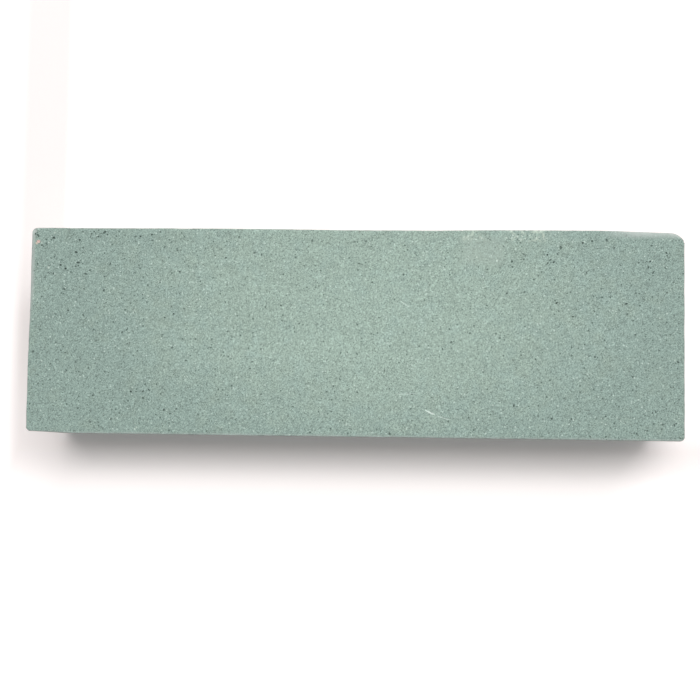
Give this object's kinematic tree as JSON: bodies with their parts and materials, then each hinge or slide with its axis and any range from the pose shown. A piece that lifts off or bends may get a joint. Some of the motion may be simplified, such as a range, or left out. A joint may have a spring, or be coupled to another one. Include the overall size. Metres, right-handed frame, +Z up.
{
  "type": "sharpening whetstone",
  "caption": "Rectangular block of green vitrified silicon carbide with flat honing faces, softened edges and a worn corner, for sharpening knives, gouges and chisels.",
  "frame": {"origin": "middle of the underside, which is the face that the stone lies on", "axes": "+X along the stone, towards the end with the worn corner; +Y across it, towards the worn corner; +Z up, out of the honing face"},
  "size_m": [0.158, 0.05, 0.025],
  "materials": {
    "grit": "matte"
  },
  "bodies": {
    "root": {"stone": "grit"}
  },
  "joints": []
}
